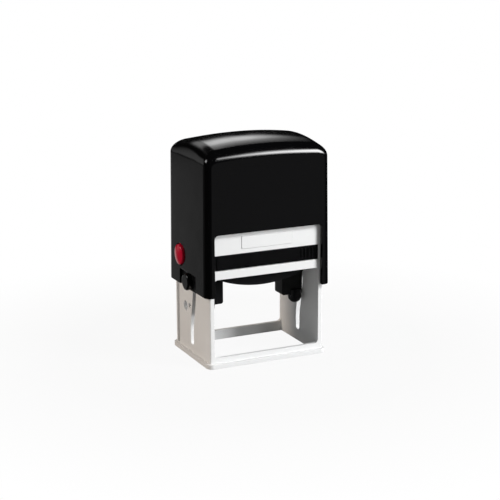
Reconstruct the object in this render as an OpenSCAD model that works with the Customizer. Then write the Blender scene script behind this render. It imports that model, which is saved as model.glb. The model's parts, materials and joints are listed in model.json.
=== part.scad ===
// Self inking stamp: a black cap slides down over a pale frame and turns the
// platen half a turn, so that the rubber die goes from the ink pad to the paper.
// X is to the right, Y to the back, Z up, and the base stands on Z = 0. Millimetres.

/* [Overall] */
// Width of the cap
cap_w = 66; // [56:0.5:80]
// Depth of the cap
cap_d = 48.2; // [44:0.2:60]
// Height of the crown above the table
overall_h = 109.2; // [106:0.2:125]
// Height of the lower edge of the cap above the table
cap_bottom = 35.5; // [34:0.1:37]
// How far the cap is pressed down to print
stroke = 26.5; // [24:0.1:28]

/* [Cap] */
// Wall of the cap
cap_wall = 2.2; // [1.8:0.1:2.4]
// Radius of the upright corners
corner_r = 4.2; // [3:0.1:5]
// Radius of the front and rear edges of the crown
edge_r = 6.8; // [5:0.1:7.5]
// Radius of the crown from the front to the back
dome_r = 64; // [55:1:120]
// Radius of the shoulders at the left and right
shoulder_r = 8.4; // [6:0.1:10]
// How much higher the crown is in the middle than at the sides
crown_rise = 2.9; // [1.5:0.1:5]
// Height of the front panel that shows between the pad and the cap
strip_h = 10.8; // [8:0.1:13]
// Width of the corner columns beside the window
column_w = 3.9; // [3.4:0.1:6]

/* [Frame] */
// Play between the cap and the frame
slide_gap = 0.6; // [0.4:0.05:0.9]
// Thickness of the legs
leg_t = 2.5; // [2:0.1:3.2]
// Thickness of the front and rear panels and of the base rails
panel_t = 2; // [1.6:0.1:2.6]
// Height of the base rails
rail_h = 5; // [4:0.1:7]
// How far the foot flange stands out
flange_out = 1.5; // [1:0.1:2.4]
// Height of the foot flange
flange_h = 3; // [2:0.1:4]
// Height of the bar below the pad
bar_h = 4.2; // [3.4:0.1:5]
// Height of the panel above the pad
rim_h = 14.7; // [13:0.1:17]
// Width of the bare label field on the front panel
label_w = 26.8; // [20:0.2:40]
// Height of the label field
label_h = 6.2; // [4:0.1:7]
// How far the label field stands out of the panel
label_out = 0.25; // [0.1:0.05:0.3]

/* [Ink pad] */
// Height of the pad tray
tray_h = 6.9; // [6.2:0.1:7.6]
// Thickness of the tray above the felt
tray_roof = 1; // [0.8:0.1:1.6]
// Air between the resting die and the felt
pad_gap = 0.8; // [0.6:0.05:1.2]
// Thickness of the felt
felt_t = 2.2; // [1.5:0.1:2.6]

/* [Platen and die] */
// Width of the die
die_w = 50; // [40:0.5:52]
// Depth of the die
die_d = 29; // [24:0.5:30]
// Height of the raised print above the die
relief = 1.2; // [0.8:0.1:1.5]
// Thickness of the die under the print
die_t = 1.3; // [1:0.1:1.6]
// Thickness of the foam under the die
foam_t = 1.5; // [1:0.1:2]
// Radius of the arched back of the platen
belly_r = 60; // [50:1:90]
// How far the round arms of the platen reach below its axis
arm_reach = 16.8; // [13:0.1:17]

/* [Flip mechanism] */
// Height of the flip axis above the lower edge of the cap
axis_up = 3.3; // [3:0.1:3.8]
// Place of the flip axis from the middle, minus to the front
axis_y = -1; // [-2:0.1:1]
// Throw of the crank pin
crank_r = 1.8; // [1.4:0.05:2]
// Diameter of the crank pin
pin_d = 3.2; // [2.8:0.1:3.4]
// Diameter of the crank journal
journal_d = 7.2; // [6.8:0.1:7.6]
// Play of the crank pin in the cam slot
slot_gap = 0.3; // [0.2:0.05:0.4]
// How far the cam slot runs on below the lowest pin position
slot_extra = 4.6; // [1:0.1:6]

/* [Lock buttons] */
// Diameter of the button
button_d = 10.6; // [8:0.2:11]
// Height of the button on the cap
button_z = 50.3; // [49:0.1:52]
// Place of the button from the middle, plus to the back
button_y = 8.5; // [6:0.1:11]
// Travel of the button
button_travel = 1.1; // [0.6:0.1:1.2]

/* [Springs] */
// Distance of each spring from the middle
spring_x = 14.5; // [11:0.5:18]
// Mean radius of the coil
spring_r = 4.7; // [4.2:0.1:5]
// Diameter of the wire
wire_d = 1.2; // [0.8:0.1:1.4]
// Turns of the coil
turns = 11; // [8:1:13]

/* [Hidden] */
$fn = 64;
// Play of pieces that are fixed to each other
seat = 0.05;
// Play of pieces that move past each other
play = 0.3;
hw = cap_w / 2;
hd = cap_d / 2;
// Outside of the frame
fx = hw - cap_wall - slide_gap;
fy = hd - cap_wall - slide_gap;
// Inside of the frame
ix = fx - leg_t;
iy = fy - panel_t;
// Crown: an arc over the whole width, with a shoulder arc that meets it at each side
crown_r = (hw * hw + crown_rise * crown_rise) / (2 * crown_rise);
crown_c = overall_h - crown_r;
sh_x = hw - shoulder_r;
sh_a = asin(sh_x / (crown_r - shoulder_r));
// The shoulder arcs stand a little high, so that the crown arc crosses them along a clean line
sh_z = crown_c + (crown_r - shoulder_r) * cos(sh_a) + 0.02;
// Middle of the rounded front and rear edges, which touch the crown from inside
edge_y = hd - edge_r;
edge_c = crown_r - dome_r + sqrt(pow(dome_r - edge_r, 2) - pow(edge_y, 2));
edge_end = edge_y * dome_r / (dome_r - edge_r);
// Flip axis at rest, and the height of the print above it
axis_z = cap_bottom + axis_up;
print_h = axis_z - stroke - 0.1;
print_z = axis_z + print_h;
die_z = print_z - relief - die_t;
foam_z = die_z - foam_t - seat;
platen_top = foam_z - seat;
felt_z = print_z + pad_gap;
// Ink pad above the print, and what follows it on the frame and the cap
tray_top = felt_z + felt_t + tray_roof;
tray_bottom = tray_top - tray_h;
bar_bottom = tray_bottom - play - bar_h;
window_top = tray_top + strip_h;
// Shoe that carries the crank in the cap wall
shoe_w = 19.4;
shoe_h = axis_up + journal_d / 2 + 0.85;
shoe_in = 1.2;
// Round boss of the shoe about the journal, and the head of the crank in front of it
boss_d = journal_d + 1.2;
boss_out = 0.3;
boss_x = hw - shoe_in + boss_out;
head_x = boss_x + 0.15;
head_t = 1.1;
head_edge = 0.45;
// Lower lock hole in the leg, one stroke below the button
hole_z = button_z - stroke;
stem_d = 4;
// Deck above the pad, and the seats of the springs
deck_z = tray_top + play;
deck_t = 2.6;
frame_h = deck_z + rim_h;
spring_z0 = deck_z + deck_t + 0.1;
spring_seat = overall_h - cap_wall - 1.9;
spring_z1 = spring_seat - 0.3;
// Middle of the label field
label_z = tray_top + 5.6;
// Guide groove in the leg and guide rib in the cap
groove_y = 18.2;
groove_w = 2.6;
groove_d = 1.2;

// Plain shapes
module box(x0, x1, y0, y1, z0, z1) {
  translate([x0, y0, z0]) cube([x1 - x0, y1 - y0, z1 - z0]);
}
module rrect(w, h, r) {
  square([w - 2 * r, h], center = true);
  square([w, h - 2 * r], center = true);
  for (sx = [-1, 1], sy = [-1, 1]) {
    translate([sx * (w / 2 - r), sy * (h / 2 - r)]) circle(r);
  }
}
// A flat shape drawn in X and Z, run along Y from y0 to y1
module along_y(y0, y1) {
  translate([0, y1, 0]) rotate([90, 0, 0]) linear_extrude(y1 - y0) children();
}
// A flat shape drawn in Y and Z, run along X from x0 to x1
module along_x(x0, x1) {
  translate([x0, 0, 0]) rotate([90, 0, 90]) linear_extrude(x1 - x0) children();
}
// A cylinder along X
module rod_x(x0, x1, d, y, z) {
  translate([x0, y, z]) rotate([0, 90, 0]) cylinder(h = x1 - x0, d = d);
}
module other_side() {
  mirror([1, 0, 0]) children();
}
module both_sides() {
  children();
  other_side() children();
}

// Outside form of the cap
module corner_profile(r1) {
  r = corner_r;
  translate([0, -hd]) square([r1 - r, cap_d]);
  translate([0, r - hd]) square([r1, cap_d - 2 * r]);
  intersection() {
    translate([0, -hd]) square([r1, cap_d]);
    union() {
      translate([r1 - r, hd - r]) circle(r);
      translate([r1 - r, r - hd]) circle(r);
    }
  }
}
// Crown from the front to the back: an arc between the rounded edges, which stand a little high
module crown_profile(r0) {
  intersection() {
    translate([crown_r - dome_r, 0]) circle(dome_r, $fn = 360);
    translate([r0, -hd]) square([crown_r + 1 - r0, cap_d]);
    union() {
      translate([r0, -hd]) square([edge_c - r0, cap_d]);
      translate([r0, -edge_end]) square([crown_r + 1 - r0, 2 * edge_end]);
      translate([edge_c + 0.01, edge_y]) circle(edge_r);
      translate([edge_c + 0.01, -edge_y]) circle(edge_r);
    }
  }
}
module ceiling_profile(r0) {
  intersection() {
    translate([crown_r - dome_r, 0]) circle(dome_r - cap_wall, $fn = 360);
    translate([r0, -hd - 2]) square([crown_r - r0, cap_d + 4]);
  }
}
// A flat shape drawn from the middle of the crown arc outwards, turned by the angle a to both sides
module along_crown(a) {
  translate([0, 0, crown_c]) rotate([90, 0, 0]) rotate([0, 0, 90 - a])
    rotate_extrude(angle = 2 * a, $fn = 360) children();
}
// Slab under the crown arc, with its long edges rounded
module crown_slab() {
  low_r = cap_bottom - crown_c;
  along_crown(atan2(hw + 2, low_r)) crown_profile(low_r - 5);
}
module cap_form() {
  // upright walls with round corners
  intersection() {
    crown_slab();
    translate([0, 0, cap_bottom]) linear_extrude(sh_z - cap_bottom) rrect(cap_w, cap_d, corner_r);
  }
  // shoulders at the top of the walls, and the space between them
  intersection() {
    crown_slab();
    union() {
      both_sides() {
        translate([sh_x, 0, sh_z]) rotate([90, 0, 0]) rotate_extrude(angle = 90)
          corner_profile(shoulder_r);
      }
      along_crown(sh_a) translate([crown_r - shoulder_r - 3, -hd - 1])
        square([shoulder_r + 4, cap_d + 2]);
    }
  }
}
// Hollow of the cap, drawn in X and Z
module hollow_shape() {
  w = hw - cap_wall;
  arc_r = shoulder_r - cap_wall;
  top_x = sh_x + arc_r * sin(sh_a);
  translate([-w, cap_bottom - 1]) square([2 * w, sh_z - cap_bottom + 1]);
  translate([-top_x, cap_bottom]) square([2 * top_x, overall_h - cap_bottom]);
  for (side = [-1, 1]) {
    translate([side * sh_x, sh_z]) circle(arc_r);
  }
}
// Hollow of the cap, drawn in Y and Z: it leans in under the rounded edges of the crown
module hollow_edges() {
  y = hd - cap_wall + 1;
  z = crown_c + edge_c - 0.1;
  top_y = y + z - overall_h - 1;
  polygon([[-y, cap_bottom - 2], [y, cap_bottom - 2], [y, z],
    [top_y, overall_h + 1], [-top_y, overall_h + 1], [-y, z]]);
}

// Cap
module window_shape() {
  w = 2 * (hw - column_w);
  translate([0, (window_top + cap_bottom - 6) / 2]) rrect(w, window_top - cap_bottom + 6, 2);
}
module cap_side_cuts() {
  // notch for the shoe
  box(fx - 1, hw + 1, axis_y - shoe_w / 2 - seat, axis_y + shoe_w / 2 + seat,
    cap_bottom - 1, cap_bottom + shoe_h + seat);
  // hole and inner seat of the button
  rod_x(fx - 1, hw + 1, button_d + 0.4, button_y, button_z);
  rod_x(fx - 1, hw - 0.9, button_d + 1.4, button_y, button_z);
}
module cap_shell() {
  color("#151518") {
    difference() {
      union() {
        cap_form();
      }
      intersection() {
        along_y(-hd + cap_wall, hd - cap_wall) hollow_shape();
        along_x(-hw, hw) hollow_edges();
        along_crown(atan2(hw + 2, cap_bottom - crown_c)) ceiling_profile(cap_bottom - crown_c - 5);
      }
      along_y(-hd - 1, hd + 1) window_shape();
      both_sides() cap_side_cuts();
    }
    both_sides() {
      // guide rib that runs in the groove of the leg
      box(fx - groove_d + play, hw - cap_wall + 0.4, groove_y - groove_w / 2 + play,
        groove_y + groove_w / 2 - play, cap_bottom + 1, sh_z - 4);
      // seat and post of the return spring
      translate([spring_x, 0, spring_seat]) cylinder(h = 2.2, r = spring_r + 1.4);
      translate([spring_x, 0, spring_seat - 13]) cylinder(h = 14, r = spring_r - 1.3);
    }
  }
}
module pivot_shoe() {
  x0 = fx + play;
  difference() {
    union() {
      along_x(x0, hw - shoe_in) translate([axis_y, cap_bottom + shoe_h / 2]) rrect(shoe_w, shoe_h, 1);
      rod_x(x0, boss_x, boss_d, axis_y, axis_z);
    }
    rod_x(x0 - 1, boss_x + 1, journal_d + 0.1, axis_y, axis_z);
  }
}
module left_pivot_shoe() {
  color("#1b1b1e") other_side() pivot_shoe();
}
module right_pivot_shoe() {
  color("#1b1b1e") pivot_shoe();
}

// Cam slot: the path of the crank pin while the cap goes down and the platen turns
function pin_y(a) = axis_y - crank_r * cos(a);
function pin_z(a) = axis_z - stroke * a / 180 - crank_r * sin(a);
function pin_dy(a) = crank_r * sin(a);
function pin_dz(a) = -stroke / PI - crank_r * cos(a);
function pin_n(a) = sqrt(pow(pin_dy(a), 2) + pow(pin_dz(a), 2));
slot_r = pin_d / 2 + slot_gap;
slot_steps = [for (i = [0:36]) 5 * i];
slot_front = [for (a = slot_steps)
  [pin_y(a) + slot_r * pin_dz(a) / pin_n(a), pin_z(a) - slot_r * pin_dy(a) / pin_n(a)]];
slot_back = [for (i = [36:-1:0]) let (a = slot_steps[i])
  [pin_y(a) - slot_r * pin_dz(a) / pin_n(a), pin_z(a) + slot_r * pin_dy(a) / pin_n(a)]];
slot_end = pin_z(180) - slot_extra;
module slot_shape() {
  polygon(concat(slot_front, slot_back));
  translate([pin_y(0), pin_z(0)]) circle(slot_r);
  translate([pin_y(180), pin_z(180)]) circle(slot_r);
  translate([pin_y(180), slot_end]) circle(slot_r);
  translate([pin_y(180) - slot_r, slot_end]) square([2 * slot_r, slot_extra]);
}
module lock_hole_shape() {
  intersection() {
    circle(d = stem_d + 2 * play + 0.4);
    translate([-4, -4]) square([4 + stem_d / 2 + play, 8]);
  }
}

// Frame
module frame_gap_shape(z0, z1, w, r) {
  translate([0, (z0 + z1) / 2]) rrect(2 * w, z1 - z0, r);
}
module frame() {
  color("#dcdcd6") {
    difference() {
      union() {
        linear_extrude(frame_h) rrect(2 * fx, 2 * fy, 1.8);
        linear_extrude(flange_h) rrect(2 * (fx + flange_out), 2 * (fy + flange_out), 3);
      }
      // hollow below and above the deck
      box(-ix, ix, -iy, iy, -1, deck_z);
      box(-ix, ix, -iy, iy, deck_z + deck_t, frame_h + 1);
      // openings between the legs at the front and the back
      along_y(-fy - 5, fy + 5) frame_gap_shape(rail_h, bar_bottom, ix, 2);
      // way of the pad tray: full at the front, narrower at the back
      box(-ix, ix, -fy - 1, 0, tray_bottom - play, deck_z);
      box(-18, 18, 0, fy + 1, tray_bottom - play, deck_z);
      both_sides() {
        along_x(ix - 1, fx + 1) slot_shape();
        // lock holes for the raised and for the pressed cap
        along_x(ix - 1, fx + 1) translate([button_y, hole_z]) lock_hole_shape();
        along_x(ix - 1, fx + 1) translate([button_y, button_z]) lock_hole_shape();
        // small round hole beside the slot
        rod_x(ix - 1, fx + 1, 2.4, axis_y + 4.6, 25.2);
        // guide groove
        box(fx - groove_d, fx + 1, groove_y - groove_w / 2, groove_y + groove_w / 2,
          flange_h, frame_h + 1);
      }
    }
    along_y(-fy - label_out, -iy) translate([0, label_z]) rrect(label_w, label_h, 0.6);
    both_sides() {
      // ledge under the pad tray
      box(ix - 1.2, ix + 0.5, -iy - 0.5, iy + 0.5, tray_bottom - play - 1.5, tray_bottom - play);
      // cup round the foot of the spring
      difference() {
        translate([spring_x, 0, deck_z + 1]) cylinder(h = deck_t + 7, r = spring_r + 2.2);
        translate([spring_x, 0, deck_z + deck_t]) cylinder(h = 20, r = spring_r + wire_d / 2 + 0.4);
      }
    }
  }
}

// Ink pad
tray_x = ix - play;
tray_y0 = -fy + 0.2;
tray_y1 = iy - 0.6;
module pad_tray() {
  color("#1d1d20") {
    difference() {
      box(-tray_x, tray_x, tray_y0, tray_y1, tray_bottom, tray_top);
      // the open underside, open to the back so that the die never stops the tray
      box(-tray_x + 1.2, tray_x - 1.2, tray_y0 + 1.4, tray_y1 - 1.2, tray_bottom - 1, felt_z + felt_t);
      box(-tray_x + 1.2, tray_x - 1.2, tray_y0 + 3, tray_y1 + 1, tray_bottom - 1, felt_z + 0.4);
      // step at the left end of the front
      box(-tray_x - 1, -tray_x + 1.4, tray_y0 - 1, tray_y0 + 0.5, tray_bottom - 1, tray_top + 1);
    }
    // finger grip
    for (i = [0:4]) {
      box(tray_x - 9.4 + 1.9 * i, tray_x - 8.4 + 1.9 * i, tray_y0 - 0.3, tray_y0 + 0.5,
        tray_bottom + 0.8, tray_top - 0.8);
    }
  }
}
module pad_felt() {
  color("#23233a") box(-tray_x + 1.2 + seat, tray_x - 1.2 - seat, tray_y0 + 1.4 + seat,
    tray_y1 - 1.2 - seat, felt_z, felt_z + felt_t - seat);
}

// Platen with its die
platen_d = die_d + 1;
hub_x0 = 16;
hub_x1 = ix - 0.5;
cheek_d = 8.4;
cheek_z0 = axis_z - 12.2;
cheek_z1 = axis_z + 3.8;
arm_d = 7.6;
arm_x = hub_x1 - arm_d / 2 - 0.1;
arm_y = axis_y - 2.7;
arm_z = axis_z - arm_reach + arm_d / 2;
module platen() {
  color("#2a2a2d") {
    difference() {
      union() {
        // arched body
        along_y(axis_y - platen_d / 2, axis_y + platen_d / 2) intersection() {
          translate([0, axis_z - 1.6 + belly_r]) circle(belly_r, $fn = 180);
          translate([-die_w / 2 + 0.2, axis_z - 6]) square([die_w - 0.4, platen_top - axis_z + 6]);
        }
        both_sides() {
          // cheek that holds the crank pin
          along_y(axis_y - cheek_d / 2, axis_y + cheek_d / 2)
            translate([(hub_x0 + hub_x1) / 2, (cheek_z0 + cheek_z1) / 2])
              rrect(hub_x1 - hub_x0, cheek_z1 - cheek_z0, 1.2);
          // round arm under the cheek
          translate([arm_x, arm_y, arm_z]) {
            sphere(d = arm_d);
            cylinder(h = cheek_z0 - arm_z + 3, d = arm_d);
          }
        }
      }
      both_sides() rod_x(hub_x1 - 7.4, hub_x1 + 1, pin_d + 0.06, axis_y - crank_r, axis_z);
    }
  }
}
module die_foam() {
  color("#55585c") box(-die_w / 2, die_w / 2, axis_y - die_d / 2, axis_y + die_d / 2,
    foam_z, foam_z + foam_t);
}
// The print is a plain border with bars of different length
print_w = die_w - 6;
print_d = die_d - 6;
bar_lengths = [0.86, 0.62, 0.86, 0.46];
module text_die() {
  color("#8d3f33") {
    box(-die_w / 2, die_w / 2, axis_y - die_d / 2, axis_y + die_d / 2, die_z, die_z + die_t);
    translate([0, axis_y, die_z + die_t - 0.2]) linear_extrude(relief + 0.2) {
      difference() {
        square([print_w, print_d], center = true);
        square([print_w - 2, print_d - 2], center = true);
      }
      for (i = [0:3]) {
        translate([0, (i - 1.5) * (print_d - 4) / 4])
          square([bar_lengths[i] * (print_w - 5), (print_d - 4) / 8], center = true);
      }
    }
  }
}
// Crank: journal in the shoe, pin through the cam slot into the cheek, domed head outside
module crank() {
  x0 = fx + play;
  head_r = boss_d / 2;
  face_h = head_t - head_edge;
  face_r = (head_r * head_r + face_h * face_h) / (2 * face_h);
  rod_x(hub_x1 - 7.2, x0 + 1, pin_d, axis_y - crank_r, axis_z);
  rod_x(x0, head_x + 0.3, journal_d, axis_y, axis_z);
  translate([head_x, axis_y, axis_z]) rotate([0, 90, 0]) rotate_extrude() intersection() {
    translate([0, head_t - face_r]) circle(face_r, $fn = 120);
    square([head_r, head_t + 1]);
  }
}
module left_crank() {
  color("#202023") other_side() crank();
}
module right_crank() {
  color("#202023") crank();
}

// Lock button: round front through the cap wall, collar behind the lip, stem to the leg
module lock_button() {
  translate([0, button_y, button_z]) rotate([0, 90, 0]) {
    translate([0, 0, hw - 1.6]) rotate_extrude() intersection() {
      translate([0, 3.2 - 14]) circle(14, $fn = 120);
      square([button_d / 2, 6]);
    }
    translate([0, 0, hw - 1.5]) cylinder(h = 0.5, d = button_d + 1);
    translate([0, 0, fx + play]) cylinder(h = hw - 1.2 - fx - play, d = stem_d);
  }
}
module left_lock_button() {
  color("#c8202c") other_side() lock_button();
}
module right_lock_button() {
  color("#c8202c") lock_button();
}

// Return spring: one unbroken tube of wire
ring_n = 8;
side_n = 6;
rings = turns * ring_n;
spring_rise = spring_z1 - spring_z0 - wire_d;
function ring_angle(i) = 360 * i / ring_n;
function ring_height(i) = spring_z0 + wire_d / 2 + spring_rise * i / rings;
function wire_point(i, j) = let (
  a = ring_angle(i),
  b = 360 * j / side_n + 30,
  r = spring_r + wire_d / 2 * cos(b))
  [r * cos(a), r * sin(a), ring_height(i) + wire_d / 2 * sin(b)];
wire_points = [for (i = [0:rings]) for (j = [0:side_n - 1]) wire_point(i, j)];
wire_sides = [for (i = [0:rings - 1]) for (j = [0:side_n - 1]) let (k = (j + 1) % side_n)
  each [[i * side_n + j, i * side_n + k, (i + 1) * side_n + k],
    [i * side_n + j, (i + 1) * side_n + k, (i + 1) * side_n + j]]];
wire_ends = concat(
  [for (j = [1:side_n - 2]) [0, j + 1, j]],
  [for (j = [1:side_n - 2]) [rings * side_n, rings * side_n + j, rings * side_n + j + 1]]);
module spring_wire() {
  polyhedron(points = wire_points, faces = concat(wire_sides, wire_ends), convexity = 10);
}
module return_spring_left() {
  color("#b9bcc0") translate([-spring_x, 0, 0]) spring_wire();
}
module return_spring_right() {
  color("#b9bcc0") translate([spring_x, 0, 0]) spring_wire();
}
// Least air between one turn of the wire and the next
wire_air = min([for (i = [0:rings - ring_n - 1]) for (j = [0:side_n - 1]) for (k = [0:side_n - 1])
  norm(wire_points[i * side_n + j] - wire_points[(i + ring_n) * side_n + k])]);
echo(wire_air = wire_air);

frame();
return_spring_left();
return_spring_right();
pad_tray();
pad_felt();
cap_shell();
left_pivot_shoe();
right_pivot_shoe();
platen();
die_foam();
text_die();
left_crank();
right_crank();
left_lock_button();
right_lock_button();
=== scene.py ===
"""Self inking stamp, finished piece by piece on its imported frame.

Pieces are modelled in millimetres, where the frame has them, and scaled to metres when they are placed.
X is to the right, Y to the back and Z up.
"""
import json
import math

import bmesh
import bpy
from mathutils import Matrix, Vector


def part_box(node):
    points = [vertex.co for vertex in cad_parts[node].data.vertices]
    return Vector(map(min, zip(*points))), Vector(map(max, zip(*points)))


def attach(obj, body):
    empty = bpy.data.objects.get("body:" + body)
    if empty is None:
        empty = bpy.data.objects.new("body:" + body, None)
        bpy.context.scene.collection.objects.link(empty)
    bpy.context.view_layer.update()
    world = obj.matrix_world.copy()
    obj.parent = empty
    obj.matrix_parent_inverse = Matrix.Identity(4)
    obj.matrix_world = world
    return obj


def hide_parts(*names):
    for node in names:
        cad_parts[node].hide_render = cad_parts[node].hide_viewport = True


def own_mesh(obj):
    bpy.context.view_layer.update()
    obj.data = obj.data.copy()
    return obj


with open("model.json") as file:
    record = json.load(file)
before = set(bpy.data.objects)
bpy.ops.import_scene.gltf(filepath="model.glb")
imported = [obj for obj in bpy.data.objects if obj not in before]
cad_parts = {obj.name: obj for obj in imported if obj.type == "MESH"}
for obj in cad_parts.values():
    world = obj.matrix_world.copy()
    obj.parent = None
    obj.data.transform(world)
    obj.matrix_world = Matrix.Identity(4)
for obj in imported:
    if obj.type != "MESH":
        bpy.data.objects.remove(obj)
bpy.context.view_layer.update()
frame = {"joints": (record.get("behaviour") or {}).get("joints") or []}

MM = 0.001
X, Y, Z = range(3)
SIDES = (-1, 1)


# Sizes that the frame gives
def node_box(node):
    low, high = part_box(node)
    return low / MM, high / MM


cap_low, cap_high = node_box("cap_shell")
base_low, base_high = node_box("frame")
tray_low, tray_high = node_box("pad_tray")
felt_low, felt_high = node_box("pad_felt")
foam_low, foam_high = node_box("die_foam")
die_low, die_high = node_box("text_die")
platen_low, platen_high = node_box("platen")
shoe_low, shoe_high = node_box("right_pivot_shoe")
crank_low, crank_high = node_box("right_crank")
button_low, button_high = node_box("right_lock_button")
spring_low, spring_high = node_box("return_spring_right")
joints = {joint["name"]: joint for joint in frame["joints"]}
AXIS = Vector(joints["platen_flip"]["pos_m"]) / MM
STROKE = joints["cap_press"]["range_m"][1] / MM

# Shared by several pieces: a length that counts as nothing, a snug fit, how deep a detail is rooted in what
# it is joined to, and how far a cutter reaches past a face or past the whole stamp
NEAR = 0.01
FIT = 0.05
ROOT = 0.5
PAST = 5.0
BEYOND = 40.0

# Cap
CAP_X = cap_high.x
CAP_Y = cap_high.y
CAP_WALL = 2.2
# Radius of the front corners, of the rear corners and of the edge of the crown, outside and inside
CAP_EDGES = (3.2, 4.3, 6.6)
HOLLOW_EDGES = (1.9, 1.9, 4.4)
HOLLOW_LOW = cap_low.z - 2
# Edges further from the middle than this belong to the rim
RIM_Y = 20.0
RIM_STEPS = 12
SHOULDER = 8.4
SHOULDER_STEPS = 14
CROWN_RISE = 2.9
CROWN_STEPS = 24
# Rows of points across the crown, which let it fall off to the front and the back
ROWS = 10
ROW_PITCH = 3.0
FIRST_ROW = -13.5
DOME_FOOT = 98.5
DOME_R = 64.0
DOME_FADE = 1.25
DRAFT_X = -0.025
DRAFT_Y = -0.023
WINDOW_X = CAP_X - 4.7
WINDOW_TOP = 65.8
WINDOW_CORNER = 2.0
NOTCH_CORNER = 0.8
RIB_Y = 18.2
RIB_HALF = 1.0
RIB_TOP = 94.6
RIB_LIFT = 1.0
RIB_PLAY = 0.3
RIB_ROOT = 0.4

# Frame
FLANGE_OUT = 1.5
FLANGE_TOP = 2.3
FLANGE_CORNER = 3.0
FRAME_X = base_high.x - FLANGE_OUT
FRAME_Y = base_high.y - FLANGE_OUT
FRAME_CORNER = 0.8
INSIDE_X = FRAME_X - 2.5
INSIDE_Y = FRAME_Y - 2.0
RAIL_TOP = 5.0
GAP_CORNER = 2.0
GAP_EDGE = 1.0
BAR_LOW = 43.6
BAR_TOP = 47.8
DECK_LOW = 55.3
DECK_TOP = 57.9
REAR_SLOT_X = 18.0
LEDGE_WIDE = 1.2
LEDGE_THICK = 1.5
GROOVE = (16.9, 19.5)
GROOVE_DEEP = 1.2
SMALL_HOLE = (AXIS.y + 4.6, 25.2)
SMALL_HOLE_R = 1.2
# Half width, lower edge and upper edge of the raised field on the panel
LABEL = (13.4, 57.5, 63.7)
LABEL_OUT = 0.25
LABEL_CORNER = 0.6

# Ink pad
RIDGES = 5
RIDGE_R = 0.5
RIDGE_OUT = 0.3
RIDGE_SUNK = 0.2
RIDGE_ENDS = 0.8
RIDGE_PITCH = 1.9
FIRST_RIDGE = 8.9
TRAY_FRONT = 3.0
TRAY_LIP = 0.4
TRAY_STEP = (1.4, 0.5)

# Flip mechanism
CRANK_THROW = 1.8
PIN_R = 1.6
PIN_PLAY = 0.03
PIN_DEEP = 7.4
PIN_AT = (AXIS.y - CRANK_THROW, AXIS.z)
AXIS_AT = (AXIS.y, AXIS.z)
JOURNAL_R = 3.6
BOSS_R = JOURNAL_R + 0.6
BOSS_OUT = 0.3
SHOE_CORNER = 1.0
HEAD_OUT = 1.2
HEAD_IN = 1.1
HEAD_RIM = 0.9
SLOT_R = PIN_R + 0.3
SLOT_EXTRA = 4.6
SLOT_STEPS = 36
SLOT_END_STEPS = 16

# Platen and die
BELLY_R = 60
BELLY_DROP = 1.6
BELLY_STEPS = 40
CHEEK_IN = 16
CHEEK_HALF = 4.2
CHEEK_DOWN = 12.2
CHEEK_UP = 3.8
CHEEK_CORNER = 1.2
ARM_R = 3.4
ARM_UP = 3.8
ARM_FRONT = 2.7
ARM_IN = 0.1
PLATE_THICK = 1.3
PRINT_MARGIN = 3
PRINT_DRAFT = 0.12
PRINT_ROOT = 0.2
BORDER = 1
# Room round the bars inside the border's outline along X and Y, and each bar's share of the length
BAR_ROOM = (5, 4)
BAR_LENGTHS = (0.86, 0.62, 0.86, 0.46)

# Buttons
BUTTON_Y = (button_low.y + button_high.y) / 2
BUTTON_Z = (button_low.z + button_high.z) / 2
BUTTON_AT = (BUTTON_Y, BUTTON_Z)
BUTTON_R = 5.05
BUTTON_DOME_R = 14
BUTTON_PLAY = 0.45
BUTTON_LIP = 0.9
COLLAR_SUNK = 1.5
COLLAR_THICK = 0.5
COLLAR_R = BUTTON_R + 0.75
COLLAR_SEAT_R = BUTTON_R + 0.95
STEM_R = 2.0
LOCK_R = STEM_R + 0.5
LOCK_FLAT = 0.3

# Springs, their cups on the deck, and their seats and posts under the crown
SPRING_X = (spring_low.x + spring_high.x) / 2
SPRING_R = 4.7
WIRE_R = 0.6
WIRE_STEPS = 12
COIL_STEPS = 32
TURNS = 11
CUP_R = SPRING_R + 2.2
CUP_BORE_R = SPRING_R + WIRE_R + 0.4
CUP_TALL = 7
CUP_ROOT = 1.6
SEAT_R = SPRING_R + 1.4
SEAT_LOW = spring_high.z + 0.3
SEAT_TOP = spring_high.z + 2.5
POST_R = SPRING_R - 1.3
POST_LOW = spring_high.z - 12.7
POST_TOP = spring_high.z + 1.3

# Fineness of the meshes, and the angles in degrees from which an edge counts as sharp
ROUND_STEPS = 64
SMALL_ROUND_STEPS = 32
CORNER_STEPS = 8
MERGE = 0.001
VOXEL = 0.4
SHARP = 35
SOFT_SHARP = 60


# Modelling by hand
def make_active(piece):
    bpy.ops.object.select_all(action="DESELECT")
    piece.select_set(True)
    bpy.context.view_layer.objects.active = piece


def every(_):
    return True


def runs_along(edge, axis):
    return abs((edge.verts[1].co - edge.verts[0].co).normalized()[axis]) > 0.99


def pick(piece, kind, test):
    """Opens a piece for editing with those points, edges or faces selected that pass the test."""
    make_active(piece)
    bpy.ops.object.mode_set(mode="EDIT")
    bpy.ops.mesh.select_mode(type=kind)
    bpy.ops.mesh.select_all(action="DESELECT")
    shape = bmesh.from_edit_mesh(piece.data)
    items = {"VERT": shape.verts, "EDGE": shape.edges, "FACE": shape.faces}[kind]
    for item in items:
        if test(item):
            item.select_set(True)
    bmesh.update_edit_mesh(piece.data)


def close():
    bpy.ops.object.mode_set(mode="OBJECT")


def face_outwards():
    bpy.ops.mesh.select_all(action="SELECT")
    bpy.ops.mesh.normals_make_consistent(inside=False)


def apply_last(piece):
    make_active(piece)
    bpy.ops.object.modifier_apply(modifier=piece.modifiers[-1].name)


def named(name, size=(1, 1, 1)):
    """Names the primitive that was just added, sizes it and brings its place into its mesh."""
    piece = bpy.context.active_object
    piece.name = piece.data.name = name
    piece.scale = size
    bpy.ops.object.transform_apply()
    return piece


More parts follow.
